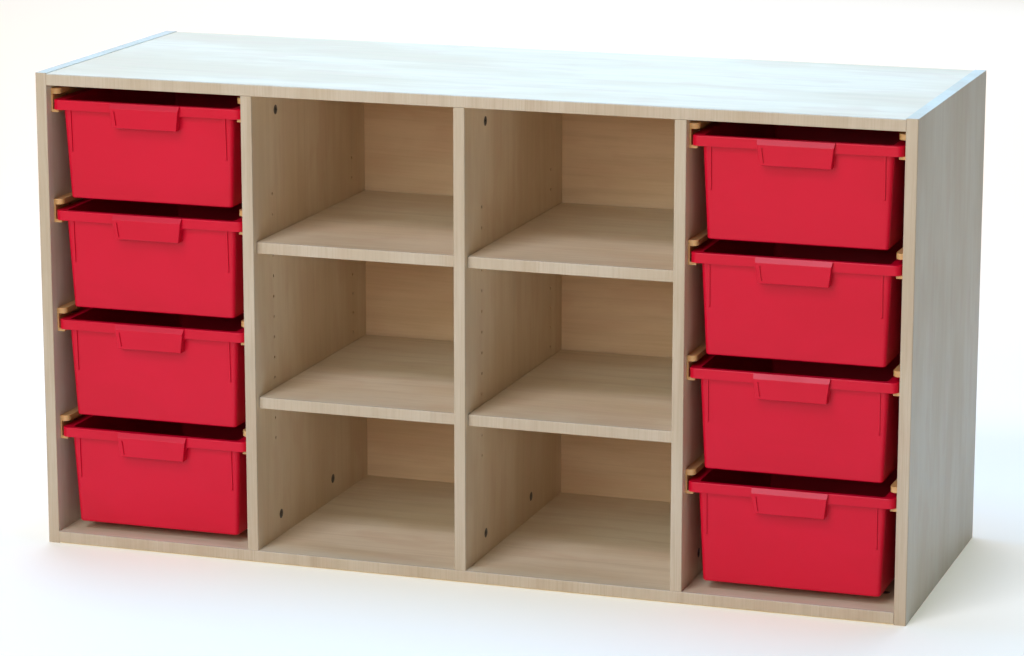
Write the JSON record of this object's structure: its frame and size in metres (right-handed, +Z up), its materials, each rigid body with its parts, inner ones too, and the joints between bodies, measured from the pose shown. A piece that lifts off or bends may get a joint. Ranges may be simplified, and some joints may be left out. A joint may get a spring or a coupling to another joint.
{
  "type": "classroom tray storage unit",
  "caption": "Low laminated-board classroom cabinet with red deep trays sliding on plastic runners in the outer bays and open shelved compartments in the middle.",
  "frame": {"origin": "middle of the footprint, on the floor", "axes": "+X to the right side panel seen from the front, -Y out of the open front, +Z up"},
  "size_m": [1.37, 0.49, 0.744],
  "materials": {
    "maple_board": "satin maple-pattern laminate",
    "edging_plastic": "satin maple-pattern plastic edging",
    "tray_plastic": "semi-gloss red moulded polypropylene",
    "runner_plastic": "satin amber moulded plastic",
    "cam_zinc": "dark die-cast zinc",
    "bolt_steel": "zinc-plated steel",
    "screw_steel": "yellow-passivated steel",
    "pin_steel": "nickel-plated steel",
    "dowel_beech": "bare beech"
  },
  "bodies": {
    "cabinet": {"back_panel": "maple_board", "bottom_panel": "maple_board", "cam_bolts": "bolt_steel", "cam_locks": "cam_zinc", "divider_left": "maple_board", "divider_middle": "maple_board", "divider_right": "maple_board", "dowels": "dowel_beech", "edging_bottom_panel": "edging_plastic", "edging_divider_left": "edging_plastic", "edging_divider_middle": "edging_plastic", "edging_divider_right": "edging_plastic", "edging_shelf_left_lower": "edging_plastic", "edging_shelf_left_upper": "edging_plastic", "edging_shelf_right_lower": "edging_plastic", "edging_shelf_right_upper": "edging_plastic", "edging_side_left": "edging_plastic", "edging_side_right": "edging_plastic", "edging_top_panel": "edging_plastic", "runner_left_bay_row1_l": "runner_plastic", "runner_left_bay_row1_r": "runner_plastic", "runner_left_bay_row2_l": "runner_plastic", "runner_left_bay_row2_r": "runner_plastic", "runner_left_bay_row3_l": "runner_plastic", "runner_left_bay_row3_r": "runner_plastic", "runner_left_bay_row4_l": "runner_plastic", "runner_left_bay_row4_r": "runner_plastic", "runner_right_bay_row1_l": "runner_plastic", "runner_right_bay_row1_r": "runner_plastic", "runner_right_bay_row2_l": "runner_plastic", "runner_right_bay_row2_r": "runner_plastic", "runner_right_bay_row3_l": "runner_plastic", "runner_right_bay_row3_r": "runner_plastic", "runner_right_bay_row4_l": "runner_plastic", "runner_right_bay_row4_r": "runner_plastic", "runner_screws": "screw_steel", "shelf_left_lower": "maple_board", "shelf_left_upper": "maple_board", "shelf_pins": "pin_steel", "shelf_right_lower": "maple_board", "shelf_right_upper": "maple_board", "side_panel_left": "maple_board", "side_panel_right": "maple_board", "top_panel": "maple_board"},
    "left_tray_1": {"tray_left_bay_row1": "tray_plastic"},
    "left_tray_2": {"tray_left_bay_row2": "tray_plastic"},
    "left_tray_3": {"tray_left_bay_row3": "tray_plastic"},
    "left_tray_4": {"tray_left_bay_row4": "tray_plastic"},
    "right_tray_1": {"tray_right_bay_row1": "tray_plastic"},
    "right_tray_2": {"tray_right_bay_row2": "tray_plastic"},
    "right_tray_3": {"tray_right_bay_row3": "tray_plastic"},
    "right_tray_4": {"tray_right_bay_row4": "tray_plastic"}
  },
  "joints": [
    {"name": "left_tray_1_slide", "type": "slide", "parent": "cabinet", "child": "left_tray_1", "axis": [0, -1, 0], "range_m": [0, 0.45]},
    {"name": "left_tray_2_slide", "type": "slide", "parent": "cabinet", "child": "left_tray_2", "axis": [0, -1, 0], "range_m": [0, 0.45]},
    {"name": "left_tray_3_slide", "type": "slide", "parent": "cabinet", "child": "left_tray_3", "axis": [0, -1, 0], "range_m": [0, 0.45]},
    {"name": "left_tray_4_slide", "type": "slide", "parent": "cabinet", "child": "left_tray_4", "axis": [0, -1, 0], "range_m": [0, 0.45]},
    {"name": "right_tray_1_slide", "type": "slide", "parent": "cabinet", "child": "right_tray_1", "axis": [0, -1, 0], "range_m": [0, 0.45]},
    {"name": "right_tray_2_slide", "type": "slide", "parent": "cabinet", "child": "right_tray_2", "axis": [0, -1, 0], "range_m": [0, 0.45]},
    {"name": "right_tray_3_slide", "type": "slide", "parent": "cabinet", "child": "right_tray_3", "axis": [0, -1, 0], "range_m": [0, 0.45]},
    {"name": "right_tray_4_slide", "type": "slide", "parent": "cabinet", "child": "right_tray_4", "axis": [0, -1, 0], "range_m": [0, 0.45]}
  ]
}
